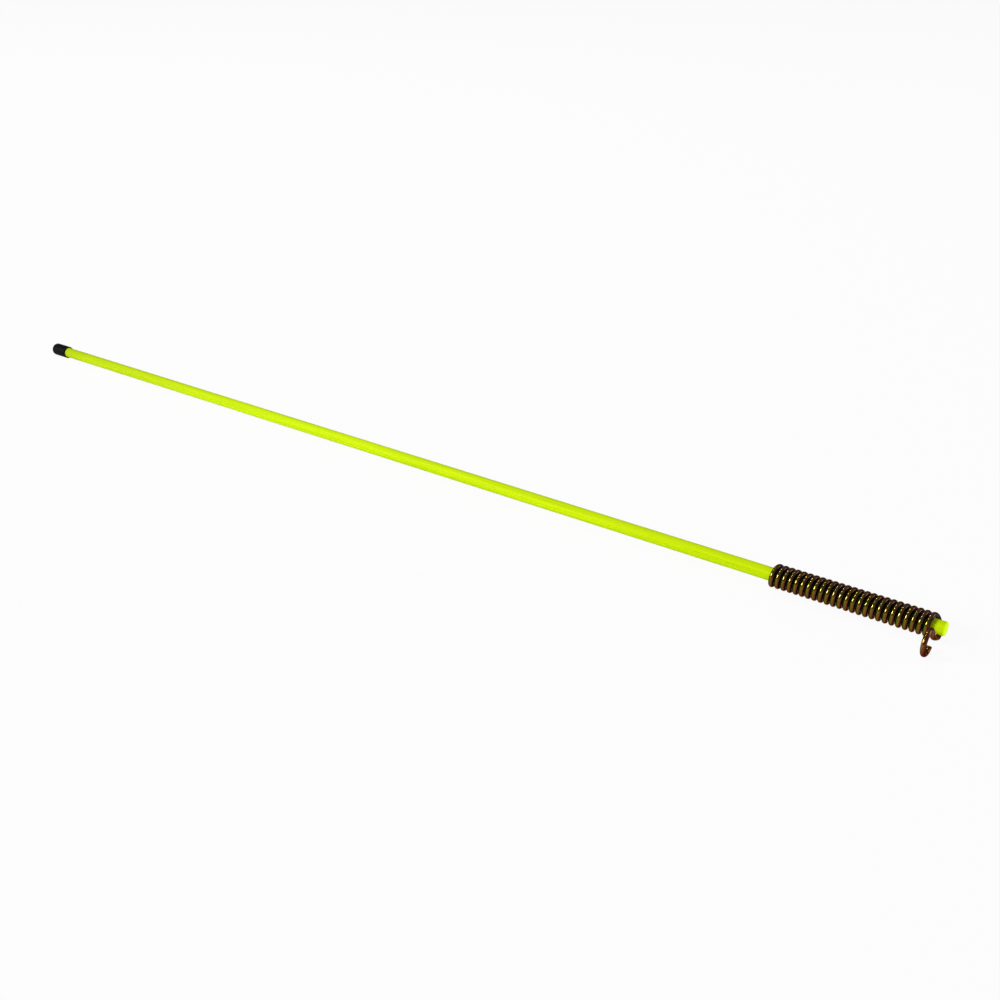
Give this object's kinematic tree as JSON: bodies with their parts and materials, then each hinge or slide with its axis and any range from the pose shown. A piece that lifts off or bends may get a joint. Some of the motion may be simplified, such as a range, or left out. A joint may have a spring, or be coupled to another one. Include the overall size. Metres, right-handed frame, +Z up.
{
  "type": "fiberglass safety pole",
  "caption": "Fluorescent lime fiberglass safety pole with a black tip cap, its butt end gripped by a left-hand coil of plated spring wire that ends in an open bolt eye.",
  "frame": {"origin": "centre of the bounding box's bottom, on the ground that the pole lies on", "axes": "+X along the pole from its capped tip to its butt, -Y towards the bolt eye, +Z up; the pole's axis leans 0.19 degrees up towards the butt, so that cap, coil and eye all touch the ground"},
  "size_m": [1.2216, 0.0548, 0.0257],
  "materials": {
    "fiberglass": "fluorescent lime resin, satin gloss, with faint lengthwise glass streaks",
    "vinyl": "black dipped vinyl, satin",
    "plated_wire": "spring steel with dark yellow chromate plating, semi-gloss"
  },
  "bodies": {
    "eye": {"mounting_eye": "plated_wire"},
    "spring": {"coil_spring": "plated_wire"},
    "pole": {"fiberglass_rod": "fiberglass", "tip_cap": "vinyl"}
  },
  "joints": [
    {"name": "neck_flex", "type": "hinge", "parent": "eye", "child": "spring", "pos_m": [0.60537, 0.00193, 0.01233], "axis": [-0.0022, -0.7512, 0.6601], "range_deg": [-14, 14], "stiffness_Nm_per_rad": 72},
    {"name": "rod_slide", "type": "slide", "parent": "spring", "child": "pole", "axis": [1, 0, 0.0034], "range_m": [-0.1, 0.05]}
  ]
}
